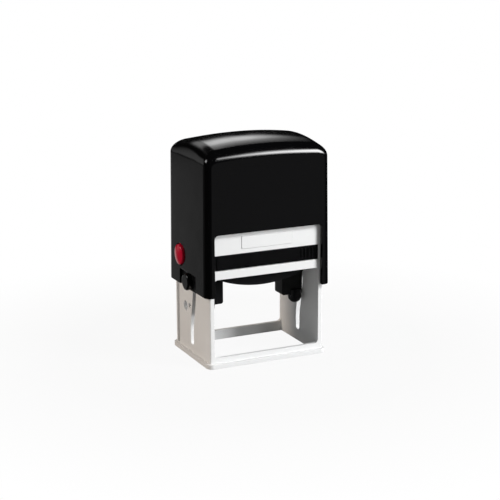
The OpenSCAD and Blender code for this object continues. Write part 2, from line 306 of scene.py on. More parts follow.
def outline(name, start, path):
    """Draws a chain of edges in X and Z and leaves it open for editing.
    A step of the path is a point for a line, or a centre, an angle and a number of segments for an arc,
    where a positive angle runs counter-clockwise as seen from the front."""
    x, z = start
    bpy.ops.object.select_all(action="DESELECT")
    bpy.ops.mesh.primitive_plane_add(size=1, location=(x, 0, z))
    piece = named(name)
    bpy.ops.object.mode_set(mode="EDIT")
    bpy.ops.mesh.select_mode(type="VERT")
    bpy.ops.mesh.select_all(action="SELECT")
    bpy.ops.mesh.merge(type="CENTER")
    for step in path:
        if len(step) == 2:
            move = (step[0] - x, 0, step[1] - z)
            bpy.ops.mesh.extrude_vertices_move(TRANSFORM_OT_translate={"value": move})
            x, z = step
        else:
            (cx, cz), degrees, count = step
            turn = math.radians(degrees)
            bpy.ops.mesh.spin(steps=count, angle=turn, center=(cx, 0, cz), axis=(0, 1, 0))
            x, z = (cx + (x - cx) * math.cos(turn) - (z - cz) * math.sin(turn),
                    cz + (x - cx) * math.sin(turn) + (z - cz) * math.cos(turn))
    bpy.ops.mesh.select_all(action="SELECT")
    return piece


def slab(name, start, path, y0, y1):
    """A closed outline in X and Z, extruded along Y."""
    piece = outline(name, start, path)
    bpy.ops.mesh.remove_doubles(threshold=MERGE)
    bpy.ops.mesh.edge_face_add()
    bpy.ops.transform.translate(value=(0, y0, 0))
    bpy.ops.mesh.extrude_region_move(TRANSFORM_OT_translate={"value": (0, y1 - y0, 0)})
    face_outwards()
    close()
    return piece


def turned(name, start, path, axis, shift, count=ROUND_STEPS):
    """An outline spun about the X or the Z axis and then moved to its place."""
    piece = outline(name, start, path)
    spindle = [0, 0, 0]
    spindle[axis] = 1
    bpy.ops.mesh.spin(steps=count, angle=2 * math.pi, center=(0, 0, 0), axis=spindle)
    bpy.ops.mesh.select_all(action="SELECT")
    bpy.ops.mesh.remove_doubles(threshold=MERGE)
    face_outwards()
    bpy.ops.transform.translate(value=shift)
    close()
    return piece


def block(name, low, high, along=None, radius=0.0):
    """A box between two corners, whose edges along one axis may be round."""
    low, high = Vector(low), Vector(high)
    bpy.ops.object.select_all(action="DESELECT")
    bpy.ops.mesh.primitive_cube_add(size=1, location=(low + high) / 2)
    piece = named(name, high - low)
    if along is not None:
        round_edges(piece, radius, CORNER_STEPS, lambda edge: runs_along(edge, along))
    return piece


def rod(name, axis, low, high, spot, radius, count=ROUND_STEPS):
    """A round rod along X or Z at a spot on the other two axes."""
    middle = list(spot)
    middle.insert(axis, (low + high) / 2)
    turn = (0, math.pi / 2, 0) if axis == X else (0, 0, 0)
    bpy.ops.object.select_all(action="DESELECT")
    bpy.ops.mesh.primitive_cylinder_add(
        vertices=count, radius=radius, depth=high - low, location=middle, rotation=turn)
    return named(name)


def span(side, near, far):
    """Two places along X on the right (1), or mirrored to the left (-1), the lower one first."""
    return sorted((side * near, side * far))


def round_edges(piece, radius, count, test):
    pick(piece, "EDGE", test)
    bpy.ops.mesh.bevel(offset=radius, segments=count, profile=0.5, affect="EDGES", clamp_overlap=False)
    close()


def combine(piece, other, way):
    """Cuts another piece away from this one, or joins it on, and uses it up."""
    modifier = piece.modifiers.new(way, "BOOLEAN")
    modifier.operation = way
    modifier.solver = "EXACT"
    modifier.object = other
    apply_last(piece)
    bpy.data.objects.remove(other)


def cut(piece, *tools):
    for tool in tools:
        combine(piece, tool, "DIFFERENCE")


def join(piece, *others):
    for other in others:
        combine(piece, other, "UNION")


def mirrored(piece, name):
    """A copy of a piece for the other side, with its own mesh."""
    other = piece.copy()
    other.data = piece.data.copy()
    other.name = other.data.name = name
    bpy.context.collection.objects.link(other)
    make_active(other)
    other.scale.x = -1
    bpy.ops.object.transform_apply()
    pick(other, "FACE", every)
    face_outwards()
    close()
    return other


def soften(piece, radius, count=2, angle=SHARP):
    """Rounds the sharp edges as a mould does."""
    pick(piece, "FACE", every)
    bpy.ops.mesh.dissolve_limited(angle_limit=math.radians(0.1))
    close()
    modifier = piece.modifiers.new("edges", "BEVEL")
    modifier.width = radius
    modifier.segments = count
    modifier.limit_method = "ANGLE"
    modifier.angle_limit = math.radians(angle)
    modifier.use_clamp_overlap = False
    apply_last(piece)


def place(piece, body, material, node, angle=SHARP):
    """Shades a finished piece, brings it to metres and hands it to its body in place of its node."""
    make_active(piece)
    bpy.ops.object.shade_smooth_by_angle(angle=math.radians(angle))
    modifier = piece.modifiers.new("normals", "WEIGHTED_NORMAL")
    modifier.keep_sharp = True
    apply_last(piece)
    piece.scale = (MM, MM, MM)
    bpy.ops.object.transform_apply()
    piece.data.materials.clear()
    piece.data.materials.append(material)
    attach(piece, body)
    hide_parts(node)


def place_pair(piece, left_name, material, right, left):
    """Places a piece of the right side and its mirror image; right and left are a body and a node."""
    other = mirrored(piece, left_name)
    for half, (body, node) in ((piece, right), (other, left)):
        place(half, body, material, node)


# Materials
def colour(code):
    """An sRGB hex colour as linear RGBA."""
    parts = [int(code[i:i + 2], 16) / 255 for i in (1, 3, 5)]
    return [p / 12.92 if p <= 0.04045 else ((p + 0.055) / 1.055) ** 2.4 for p in parts] + [1.0]


def add(tree, kind, settings=None, links=None):
    """Adds a node: settings are its options and plain inputs, links its inputs from other nodes."""
    node = tree.nodes.new(kind)
    for key, value in (settings or {}).items():
        if isinstance(key, int) or key in node.inputs:
            node.inputs[key].default_value = value
        else:
            setattr(node, key, value)
    for key, socket in (links or {}).items():
        tree.links.new(socket, node.inputs[key])
    return node


def new_material(name):
    material = bpy.data.materials.new(name)
    material.use_nodes = True
    tree = material.node_tree
    return material, tree, tree.nodes["Principled BSDF"], add(tree, "ShaderNodeTexCoord").outputs["Object"]


def per_mm(size):
    """Noise scale for features of a size in millimetres, on coordinates in metres."""
    return 1 / (size * MM)


def polished_black_abs():
    """Polished moulded ABS, black: mirror-like, with the faint waviness and handling film of a moulding."""
    material, tree, shader, place_on = new_material("polished_black_abs")
    film = add(tree, "ShaderNodeTexNoise", {"Scale": per_mm(9), "Detail": 4.0}, {"Vector": place_on})
    rough = add(tree, "ShaderNodeMapRange",
                {"From Min": 0.3, "From Max": 0.7, "To Min": 0.10, "To Max": 0.17},
                {"Value": film.outputs["Fac"]})
    wave = add(tree, "ShaderNodeTexNoise", {"Scale": per_mm(6), "Detail": 1.0}, {"Vector": place_on})
    bump = add(tree, "ShaderNodeBump", {"Strength": 0.02, "Distance": 0.2 * MM},
               {"Height": wave.outputs["Fac"]})
    shader.inputs["Base Color"].default_value = colour("#060607")
    shader.inputs["IOR"].default_value = 1.5
    tree.links.new(rough.outputs["Result"], shader.inputs["Roughness"])
    tree.links.new(bump.outputs["Normal"], shader.inputs["Normal"])
    return material


def satin_plastic(name, pale, dark, rough, grain, depth, sheen=0.5):
    """Moulded plastic: an even colour with faint flow marks, and the grain of the mould.
    The real grain is finer than 0.1 mm, so it is drawn a few times as coarse to show at all."""
    material, tree, shader, place_on = new_material(name)
    shader.inputs["Specular IOR Level"].default_value = sheen
    flow = add(tree, "ShaderNodeTexNoise", {"Scale": per_mm(14), "Detail": 5.0}, {"Vector": place_on})
    tint = add(tree, "ShaderNodeMix", {"data_type": "RGBA", 6: colour(dark), 7: colour(pale)},
               {0: flow.outputs["Fac"]})
    dull = add(tree, "ShaderNodeMapRange",
               {"From Min": 0.3, "From Max": 0.7, "To Min": rough[0], "To Max": rough[1]},
               {"Value": flow.outputs["Fac"]})
    fine = add(tree, "ShaderNodeTexNoise", {"Scale": per_mm(grain), "Detail": 2.0}, {"Vector": place_on})
    bump = add(tree, "ShaderNodeBump", {"Strength": depth, "Distance": 0.1 * MM},
               {"Height": fine.outputs["Fac"]})
    tree.links.new(tint.outputs[2], shader.inputs["Base Color"])
    tree.links.new(dull.outputs["Result"], shader.inputs["Roughness"])
    tree.links.new(bump.outputs["Normal"], shader.inputs["Normal"])
    return material


def inked_wool_felt():
    """Wool felt soaked with ink: dark, fibrous and dull. The fibres show as tufts of half a millimetre."""
    material, tree, shader, place_on = new_material("inked_wool_felt")
    fibre = add(tree, "ShaderNodeTexNoise", {"Scale": per_mm(0.5), "Detail": 6.0, "Distortion": 2.0},
                {"Vector": place_on})
    tint = add(tree, "ShaderNodeMix", {"data_type": "RGBA", 6: colour("#14142a"), 7: colour("#2a2c4e")},
               {0: fibre.outputs["Fac"]})
    bump = add(tree, "ShaderNodeBump", {"Strength": 0.7, "Distance": 0.3 * MM},
               {"Height": fibre.outputs["Fac"]})
    shader.inputs["Roughness"].default_value = 0.85
    shader.inputs["Sheen Weight"].default_value = 0.3
    tree.links.new(tint.outputs[2], shader.inputs["Base Color"])
    tree.links.new(bump.outputs["Normal"], shader.inputs["Normal"])
    return material


def closed_cell_foam():
    """Grey closed-cell foam: matt, with pores along its cut sides."""
    material, tree, shader, place_on = new_material("closed_cell_foam")
    cells = add(tree, "ShaderNodeTexVoronoi", {"Scale": per_mm(0.35)}, {"Vector": place_on})
    tint = add(tree, "ShaderNodeMix", {"data_type": "RGBA", 6: colour("#3e4043"), 7: colour("#6a6d70")},
               {0: cells.outputs["Distance"]})
    bump = add(tree, "ShaderNodeBump", {"Strength": 0.6, "Distance": 0.2 * MM},
               {"Height": cells.outputs["Distance"]})
    shader.inputs["Roughness"].default_value = 0.9
    tree.links.new(tint.outputs[2], shader.inputs["Base Color"])
    tree.links.new(bump.outputs["Normal"], shader.inputs["Normal"])
    return material


def engraved_rubber():
    """Laser-engraved rubber, red-brown: matt, with a powdery grain and dark traces of ink.
    The grain is drawn coarser than the real powder, so that it shows."""
    material, tree, shader, place_on = new_material("engraved_rubber")
    grain = add(tree, "ShaderNodeTexNoise", {"Scale": per_mm(0.3), "Detail": 4.0}, {"Vector": place_on})
    ink = add(tree, "ShaderNodeTexNoise", {"Scale": per_mm(7), "Detail": 3.0}, {"Vector": place_on})
    share = add(tree, "ShaderNodeMapRange", {"From Min": 0.4, "From Max": 0.7, "To Min": 0.0, "To Max": 0.6},
                {"Value": ink.outputs["Fac"]})
    tint = add(tree, "ShaderNodeMix", {"data_type": "RGBA", 6: colour("#8a4034"), 7: colour("#3a2430")},
               {0: share.outputs["Result"]})
    bump = add(tree, "ShaderNodeBump", {"Strength": 0.3, "Distance": 0.1 * MM},
               {"Height": grain.outputs["Fac"]})
    shader.inputs["Roughness"].default_value = 0.7
    tree.links.new(tint.outputs[2], shader.inputs["Base Color"])
    tree.links.new(bump.outputs["Normal"], shader.inputs["Normal"])
    return material


def drawn_spring_steel():
    """Drawn spring steel: bright grey metal whose gloss varies with the marks of the drawing die.
    The marks are drawn coarser than the real ones, so that they show."""
    material, tree, shader, place_on = new_material("drawn_spring_steel")
    marks = add(tree, "ShaderNodeTexNoise", {"Scale": per_mm(0.4), "Detail": 3.0}, {"Vector": place_on})
    rough = add(tree, "ShaderNodeMapRange", {"To Min": 0.22, "To Max": 0.38}, {"Value": marks.outputs["Fac"]})
    shader.inputs["Base Color"].default_value = colour("#b4b6b8")
    shader.inputs["Metallic"].default_value = 1.0
    tree.links.new(rough.outputs["Result"], shader.inputs["Roughness"])
    return material


CAP_BLACK = polished_black_abs()
# Pale grey ABS of the frame: even and soft, with hardly any gloss
FRAME_GREY = satin_plastic("satin_pale_grey_abs", "#edeeee", "#e8e9e9",
                           rough=(0.36, 0.46), grain=0.3, depth=0.05, sheen=0.15)
# Black ABS of the tray: deep black, with a dull bloom in place of highlights
TRAY_BLACK = satin_plastic("satin_black_abs", "#09090a", "#060607",
                           rough=(0.40, 0.52), grain=0.3, depth=0.08, sheen=0.15)
# Black ABS of the platen: a shade paler than the tray, with a coarser grain
PLATEN_BLACK = satin_plastic("matt_black_abs", "#161618", "#101012",
                             rough=(0.40, 0.52), grain=0.35, depth=0.10, sheen=0.3)
# Black acetal of the shoes: smooth and waxy
SHOE_BLACK = satin_plastic("black_acetal", "#0a0a0c", "#070708",
                           rough=(0.40, 0.50), grain=0.4, depth=0.05, sheen=0.3)
# Polished acetal of the pivots: small sharp highlights on the round edge
PIVOT_BLACK = satin_plastic("polished_black_acetal", "#0a0a0c", "#070708",
                            rough=(0.12, 0.18), grain=0.5, depth=0.03)
# Red ABS of the buttons: a strong even red under a clear gloss
BUTTON_RED = satin_plastic("gloss_red_abs", "#c40d33", "#b80b2e",
                           rough=(0.16, 0.24), grain=0.5, depth=0.03)
INK_FELT = inked_wool_felt()
CELL_FOAM = closed_cell_foam()
DIE_RUBBER = engraved_rubber()
SPRING_STEEL = drawn_spring_steel()


# Cap
def weigh_rim(piece, facing, bottom, top, weight):
    """Sets the share of the bevel for the rim's edges between two heights, at the front or the back."""
    def on_rim(edge):
        a, b = (point.co for point in edge.verts)
        return min(a.y * facing, b.y * facing) > RIM_Y and bottom < (a.z + b.z) / 2 < top

    pick(piece, "EDGE", on_rim)
    bpy.ops.transform.edge_bevelweight(value=weight)
    close()


def cap_body(name, inset, low, front_corner, rear_corner, edge):
    """The form of the cap, or of its hollow: shoulders and crown drawn from the front, and round edges."""
    half_x, half_y, shoulder = CAP_X - inset, CAP_Y - inset, SHOULDER - inset
    crown_r = (CAP_X ** 2 + CROWN_RISE ** 2) / (2 * CROWN_RISE) - inset
    crown_z = cap_high.z - inset - crown_r
    arc_x = half_x - shoulder
    lean = math.asin(arc_x / (crown_r - shoulder))
    arc_z = crown_z + (crown_r - shoulder) * math.cos(lean)
    sweep = math.pi / 2 - lean
    path = [
        (-half_x, arc_z),
        ((-arc_x, arc_z), -math.degrees(sweep), SHOULDER_STEPS),
        ((0, crown_z), -2 * math.degrees(lean), CROWN_STEPS),
        ((arc_x, arc_z), -math.degrees(sweep), SHOULDER_STEPS),
        (half_x, low),
    ]
    piece = slab(name, (-half_x, low), path, -half_y, half_y)
    pick(piece, "FACE", every)
    for row in range(ROWS):
        bpy.ops.mesh.select_all(action="SELECT")
        bpy.ops.mesh.bisect(plane_co=(0, FIRST_ROW + ROW_PITCH * row, 0), plane_no=(0, 1, 0))
    close()
    # the rim grows from the upright corners over the shoulders to the crown
    for corner, facing in ((front_corner, -1), (rear_corner, 1)):
        levels = [(low + NEAR, corner)]
        for step in range(SHOULDER_STEPS):
            height = arc_z + shoulder * math.sin(sweep * step / SHOULDER_STEPS)
            levels.append((height, corner + (edge - corner) * (step + 0.5) / SHOULDER_STEPS))
        levels.append((arc_z + shoulder * math.sin(sweep), edge))
        tops = [level for level, _ in levels[1:]] + [cap_high.z + PAST]
        for (bottom, radius), top in zip(levels, tops):
            weigh_rim(piece, facing, bottom, top, radius / edge)
    rim = piece.modifiers.new("rim", "BEVEL")
    rim.limit_method = "WEIGHT"
    rim.width = edge
    rim.segments = RIM_STEPS
    rim.use_clamp_overlap = False
    apply_last(piece)
    # the crown falls off to the front and the back, and less and less down the shoulders
    for point in piece.data.vertices:
        share = max(0, point.co.z - DOME_FOOT) / (cap_high.z - DOME_FOOT)
        point.co.z -= (DOME_R - math.sqrt(DOME_R ** 2 - point.co.y ** 2)) * share ** DOME_FADE
    return piece


def lift(piece, height):
    pick(piece, "VERT", every)
    bpy.ops.transform.translate(value=(0, 0, height))
    close()


def draft(piece, low):
    """Leans the walls in towards the crown, so that the moulding leaves its mould."""
    lift(piece, -low)
    for factor, lock_x in ((DRAFT_X, False), (DRAFT_Y, True)):
        taper = piece.modifiers.new("draft", "SIMPLE_DEFORM")
        taper.deform_method = "TAPER"
        taper.deform_axis = "Z"
        taper.factor = factor
        taper.lock_x, taper.lock_y = lock_x, not lock_x
        apply_last(piece)
    lift(piece, low)


def cap():
    """Shell with its window, notches and button holes, and inside it guide ribs and spring posts."""
    piece = cap_body("cap_cover", 0, cap_low.z, *CAP_EDGES)
    draft(piece, cap_low.z)
    cut(piece,
        cap_body("hollow", CAP_WALL, HOLLOW_LOW, *HOLLOW_EDGES),
        block("window", (-WINDOW_X, -BEYOND, cap_low.z - 2 * PAST), (WINDOW_X, BEYOND, WINDOW_TOP),
              Y, WINDOW_CORNER))
    inside, outside = FRAME_X - 1, CAP_X + 3
    for side in SIDES:
        near, far = span(side, inside, outside)
        cut(piece,
            block("notch", (near, shoe_low.y - FIT, cap_low.z - PAST),
                  (far, shoe_high.y + FIT, shoe_high.z + FIT), X, NOTCH_CORNER),
            rod("button_hole", X, near, far, BUTTON_AT, BUTTON_R + BUTTON_PLAY),
            rod("button_seat", X, *span(side, inside, CAP_X - BUTTON_LIP), BUTTON_AT, COLLAR_SEAT_R))
    soften(piece, 0.3, 3)
    for side in SIDES:
        near, far = span(side, FRAME_X - GROOVE_DEEP + RIB_PLAY, CAP_X - CAP_WALL + RIB_ROOT)
        spot = (side * SPRING_X, 0)
        join(piece,
             block("guide_rib", (near, RIB_Y - RIB_HALF, cap_low.z + RIB_LIFT),
                   (far, RIB_Y + RIB_HALF, RIB_TOP)),
             rod("spring_seat", Z, SEAT_LOW, SEAT_TOP, spot, SEAT_R),
             rod("spring_post", Z, POST_LOW, POST_TOP, spot, POST_R))
    place(piece, "cap", CAP_BLACK, "cap_shell")


# Frame
def slot_cutter():
    """The cam slot: the path of the crank pin, as wide as the pin and its play, through both legs."""
    def pin(turn):
        down = STROKE * turn / math.pi
        return Vector((AXIS.y - CRANK_THROW * math.cos(turn), AXIS.z - down - CRANK_THROW * math.sin(turn)))

    def side_point(turn, side):
        way = Vector((CRANK_THROW * math.sin(turn), -STROKE / math.pi - CRANK_THROW * math.cos(turn)))
        way.normalize()
        return tuple(pin(turn) + side * SLOT_R * Vector((way.y, -way.x)))

    turns = [math.pi * i / SLOT_STEPS for i in range(SLOT_STEPS + 1)]
    top, bottom = pin(0), pin(math.pi)
    foot = (bottom.x, bottom.y - SLOT_EXTRA)
    path = [side_point(turn, 1) for turn in turns]
    path += [(foot[0] - SLOT_R, foot[1]), (foot, 180, SLOT_END_STEPS)]
    path += [side_point(turn, -1) for turn in reversed(turns)]
    path += [(tuple(top), 180, SLOT_END_STEPS)]
    piece = slab("cam_slot", path[0], path[1:], -BEYOND, BEYOND)
    piece.rotation_euler.z = math.pi / 2
    bpy.ops.object.transform_apply()
    return piece


def lock_hole(z):
    """A round hole with a flat at the back, through both legs."""
    piece = rod("lock_hole", X, -BEYOND, BEYOND, (BUTTON_Y, z), LOCK_R)
    pick(piece, "VERT", every)
    bpy.ops.mesh.bisect(plane_co=(0, BUTTON_Y + STEM_R + LOCK_FLAT, 0), plane_no=(0, 1, 0),
                        clear_outer=True, use_fill=True)
    close()
    return piece


def base_frame():
    """Foot flange, two slotted legs, the bar under the pad, the panel above it and the springs' deck."""
    x, y, ix, iy, top = FRAME_X, FRAME_Y, INSIDE_X, INSIDE_Y, base_high.z
    piece = block("base_frame", (-x, -y, 0), (x, y, top), Z, FRAME_CORNER)
    join(piece, block("flange", (base_low.x, base_low.y, 0), (base_high.x, base_high.y, FLANGE_TOP),
                      Z, FLANGE_CORNER))
    cut(piece,
        block("lower_hollow", (-ix, -iy, -PAST), (ix, iy, DECK_LOW)),
        block("upper_hollow", (-ix, -iy, DECK_TOP), (ix, iy, top + PAST)),
        block("leg_gap", (-ix, -y - PAST, RAIL_TOP), (ix, y + PAST, BAR_LOW), Y, GAP_CORNER),
        block("tray_mouth", (-ix, -y - PAST, BAR_TOP), (ix, 0, DECK_LOW)),
        block("rear_slot", (-REAR_SLOT_X, 0, BAR_TOP), (REAR_SLOT_X, y + PAST, DECK_LOW)),
        slot_cutter(), lock_hole(BUTTON_Z), lock_hole(BUTTON_Z - STROKE),
        rod("small_hole", X, -BEYOND, BEYOND, SMALL_HOLE, SMALL_HOLE_R, SMALL_ROUND_STEPS))
    for side in SIDES:
        near, far = span(side, x - GROOVE_DEEP, x + PAST)
        cut(piece, block("groove", (near, GROOVE[0], FLANGE_TOP), (far, GROOVE[1], top + PAST)))
    half, low, high = LABEL
    join(piece, block("label", (-half, -y - LABEL_OUT, low), (half, -iy, high), Y, LABEL_CORNER))

    def gap_side(edge):
        middle = (edge.verts[0].co + edge.verts[1].co) / 2
        at_corner = abs(abs(middle.x) - ix) < NEAR and abs(abs(middle.y) - y) < NEAR
        return at_corner and middle.z < BAR_LOW and runs_along(edge, Z)

    round_edges(piece, GAP_EDGE, 4, gap_side)
    soften(piece, 0.22)
    for side in SIDES:
        near, far = span(side, ix - LEDGE_WIDE, ix + ROOT)
        spot = (side * SPRING_X, 0)
        cup = rod("cup", Z, DECK_TOP - CUP_ROOT, DECK_TOP + CUP_TALL, spot, CUP_R)
        cut(cup, rod("cup_bore", Z, DECK_TOP, DECK_TOP + CUP_TALL + PAST, spot, CUP_BORE_R))
        join(piece, cup,
             block("ledge", (near, -iy - ROOT, BAR_TOP - LEDGE_THICK), (far, iy + ROOT, BAR_TOP)))
    place(piece, "frame", FRAME_GREY, "frame")


def return_spring(name, side):
    """A coil of round wire, wound from a circle by one screw."""
    bpy.ops.object.select_all(action="DESELECT")
    bpy.ops.mesh.primitive_circle_add(vertices=WIRE_STEPS, radius=WIRE_R, rotation=(math.pi / 2, 0, 0),
                                      location=(SPRING_R, 0, spring_low.z + WIRE_R))
    piece = named(name)
    coil = piece.modifiers.new("coil", "SCREW")
    coil.axis = "Z"
    coil.steps = coil.render_steps = COIL_STEPS
    coil.iterations = TURNS
    coil.screw_offset = (spring_high.z - spring_low.z - 2 * WIRE_R) / TURNS
    apply_last(piece)
    pick(piece, "EDGE", lambda edge: edge.is_boundary)
    bpy.ops.mesh.edge_face_add()
    face_outwards()
    bpy.ops.transform.translate(value=(side * SPRING_X, 0, 0))
    close()
    return piece


# Ink pad
def pad_tray():
    """Tray that holds the felt face down, with a ridged grip at its right end and a step at its left end."""
    x, low, high = tray_high.x, tray_low, tray_high
    face = low.y + RIDGE_OUT
    step_x, step_y = TRAY_STEP
    piece = block("ink_tray", (-x, face, low.z), (x, high.y, high.z))
    cut(piece,
        block("felt_bed", (felt_low.x - FIT, felt_low.y - FIT, low.z - PAST),
              (felt_high.x + FIT, felt_high.y + FIT, felt_high.z + FIT)),
        block("open_rear", (felt_low.x - FIT, face + TRAY_FRONT, low.z - PAST),
              (felt_high.x + FIT, high.y + PAST, felt_low.z + TRAY_LIP)),
        block("end_step", (-x - PAST, face - PAST, low.z - PAST),
              (-x + step_x, face + step_y, high.z + PAST)))
    soften(piece, 0.25)
    for i in range(RIDGES):
        spot = (x - FIRST_RIDGE + RIDGE_PITCH * i, face + RIDGE_SUNK)
        join(piece, rod("ridge", Z, low.z + RIDGE_ENDS, high.z - RIDGE_ENDS, spot, RIDGE_R, 24))
    place(piece, "ink_pad", TRAY_BLACK, "pad_tray")


def soft_slab(name, low, high, radius, fluff, grain):
    """A slab of soft stuff with rounded edges and a fluffed surface."""
    piece = block(name, low, high)
    round_edges(piece, radius, 4, every)
    even = piece.modifiers.new("even mesh", "REMESH")
    even.mode = "VOXEL"
    even.voxel_size = VOXEL
    apply_last(piece)
    texture = bpy.data.textures.new(name, "CLOUDS")
    texture.noise_scale = grain
    surface = piece.modifiers.new("surface", "DISPLACE")
    surface.texture = texture
    surface.texture_coords = "LOCAL"
    surface.strength = fluff
    apply_last(piece)
    return piece


def pad_felt():
    """The felt is flat against the roof of the tray and hangs a little in the middle."""
    inset = Vector((0.1, 0.1, 0.06))
    sag = 0.3
    piece = soft_slab("ink_felt", felt_low + inset, felt_high - inset, radius=0.5, fluff=0.12, grain=0.7)
    for point in piece.data.vertices:
        across = (point.co.x / felt_high.x) ** 2
        along = ((point.co.y - (felt_low.y + felt_high.y) / 2) / (felt_high.y - felt_low.y) * 2) ** 2
        if point.normal.z < -0.3:
            point.co.z -= sag * max(0, 1 - across) * max(0, 1 - along)
    place(piece, "ink_pad", INK_FELT, "pad_felt", angle=SOFT_SHARP)


# Platen with its die
def platen():
    """Carrier with an arched back, two cheeks that take the crank pins and two round arms."""
    x, top = platen_high.x, platen_high.z
    body_x = foam_high.x - 0.2
    belly_z = AXIS.z - BELLY_DROP + BELLY_R
    lean = math.asin(body_x / BELLY_R)
    side_z = belly_z - BELLY_R * math.cos(lean)
    path = [((0, belly_z), 2 * math.degrees(lean), BELLY_STEPS), (body_x, top), (-body_x, top)]
    piece = slab("platen_carrier", (-body_x, side_z), path, platen_low.y, platen_high.y)
    arm = [((0, 0), 90, 12), (ARM_R, ARM_UP), (0, ARM_UP)]
    for side in SIDES:
        near, far = span(side, CHEEK_IN, x)
        join(piece,
             block("cheek", (near, AXIS.y - CHEEK_HALF, AXIS.z - CHEEK_DOWN),
                   (far, AXIS.y + CHEEK_HALF, AXIS.z + CHEEK_UP), Y, CHEEK_CORNER),
             turned("arm", (0, -ARM_R), arm, Z,
                    (side * (x - ARM_R - ARM_IN), AXIS.y - ARM_FRONT, platen_low.z + ARM_R)))
        cut(piece, rod("pin_bore", X, *span(side, x - PIN_DEEP, x + PAST), PIN_AT, PIN_R + PIN_PLAY,
                       SMALL_ROUND_STEPS))
    soften(piece, 0.3)
    place(piece, "platen", PLATEN_BLACK, "platen")


def die_foam():
    """The foam is flat where the platen and the die press on it."""
    inset = Vector((0.05, 0.05, 0.0))
    piece = soft_slab("die_cushion", foam_low + inset, foam_high - inset, radius=0.2, fluff=0.05, grain=0.4)
    for point in piece.data.vertices:
        point.co.z = min(max(point.co.z, foam_low.z), foam_high.z)
    place(piece, "platen", CELL_FOAM, "die_foam", angle=SOFT_SHARP)


def raised(name, low, high):
    """A raised part of the print, whose sides lean out to its foot."""
    piece = block(name, low, high)
    pick(piece, "FACE", lambda face: face.normal.z > 0.9)
    size = Vector(high) - Vector(low)
    bpy.ops.transform.resize(value=(1 - 2 * PRINT_DRAFT / size.x, 1 - 2 * PRINT_DRAFT / size.y, 1))
    close()
    return piece


def text_die():
    """Rubber plate with a raised border and four bars, which stand for the print."""
    plate_top = die_low.z + PLATE_THICK
    foot, top = plate_top - PRINT_ROOT, die_high.z
    y = (die_low.y + die_high.y) / 2
    half_x = die_high.x - PRINT_MARGIN
    half_y = (die_high.y - die_low.y) / 2 - PRINT_MARGIN
    piece = block("print_rubber", die_low, (die_high.x, die_high.y, plate_top))
    border = raised("border", (-half_x, y - half_y, foot), (half_x, y + half_y, top))
    cut(border, block("field", (-half_x + BORDER, y - half_y + BORDER, foot - PAST),
                      (half_x - BORDER, y + half_y - BORDER, top + PAST)))
    join(piece, border)
    rows = len(BAR_LENGTHS)
    pitch = (2 * half_y - BAR_ROOM[1]) / rows
    for i, share in enumerate(BAR_LENGTHS):
        half = share * (2 * half_x - BAR_ROOM[0]) / 2
        row = y + (i - (rows - 1) / 2) * pitch
        join(piece, raised("bar", (-half, row - pitch / 4, foot), (half, row + pitch / 4, top)))
    soften(piece, 0.08)
    place(piece, "platen", DIE_RUBBER, "text_die")


# Pivots and buttons, modelled on the right and copied to the left
def pivot_shoe():
    """Block in the notch of the cap, with a boss and a bore for the journal."""
    low, high = shoe_low, shoe_high
    piece = block("right_shoe", low, (high.x - BOSS_OUT, high.y, high.z), X, SHOE_CORNER)
    join(piece, rod("boss", X, low.x, high.x, AXIS_AT, BOSS_R))
    cut(piece, rod("bore", X, low.x - PAST, high.x + PAST, AXIS_AT, JOURNAL_R + FIT))
    soften(piece, 0.15)
    return piece


def crank():
    """Journal, round-edged head and eccentric pin."""
    tip = crank_high.x + HEAD_OUT
    head = crank_high.x - HEAD_IN
    flat_r = BOSS_R - HEAD_RIM
    path = [(tip, flat_r), ((tip - HEAD_RIM, flat_r), 90, 8), (head, BOSS_R), (head, JOURNAL_R),
            (shoe_low.x, JOURNAL_R), (shoe_low.x, 0)]
    piece = turned("right_pivot", (tip, 0), path, X, (0, *AXIS_AT))
    join(piece, rod("pin", X, crank_low.x, shoe_low.x + ROOT, PIN_AT, PIN_R, SMALL_ROUND_STEPS))
    soften(piece, 0.2, 3)
    return piece


def lock_button():
    """Domed front, collar behind the lip of the cap, and stem."""
    tip = button_high.x
    lean = math.asin(BUTTON_R / BUTTON_DOME_R)
    collar = CAP_X - COLLAR_SUNK
    collar_front = collar + COLLAR_THICK
    path = [((tip - BUTTON_DOME_R, 0), math.degrees(lean), 12), (collar_front, BUTTON_R),
            (collar_front, COLLAR_R), (collar, COLLAR_R), (collar, STEM_R),
            (button_low.x, STEM_R), (button_low.x, 0)]
    piece = turned("right_button", (tip, 0), path, X, (0, *BUTTON_AT), 96)
    soften(piece, 0.35, 4, 40)
    return piece


# All pieces
cap()
base_frame()
for name, node, side in (("right_spring", "return_spring_right", 1),
                         ("left_spring", "return_spring_left", -1)):
    spring = return_spring(name, side)
    place(spring, "frame", SPRING_STEEL, node, angle=SOFT_SHARP)
    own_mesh(spring)
pad_tray()
pad_felt()
platen()
die_foam()
text_die()
place_pair(pivot_shoe(), "left_shoe", SHOE_BLACK,
           ("cap", "right_pivot_shoe"), ("cap", "left_pivot_shoe"))
place_pair(crank(), "left_pivot", PIVOT_BLACK,
           ("platen", "right_crank"), ("platen", "left_crank"))
place_pair(lock_button(), "left_button_front", BUTTON_RED,
           ("right_button", "right_lock_button"), ("left_button", "left_lock_button"))

# Floor, in metres: a disc just under the foot, nearly white for the camera and all white at its rim
FLOOR_R = 0.2
FLOOR_Z = -0.0002
FADE = (0.09, 0.19)
WHITE_SHARE = 0.93


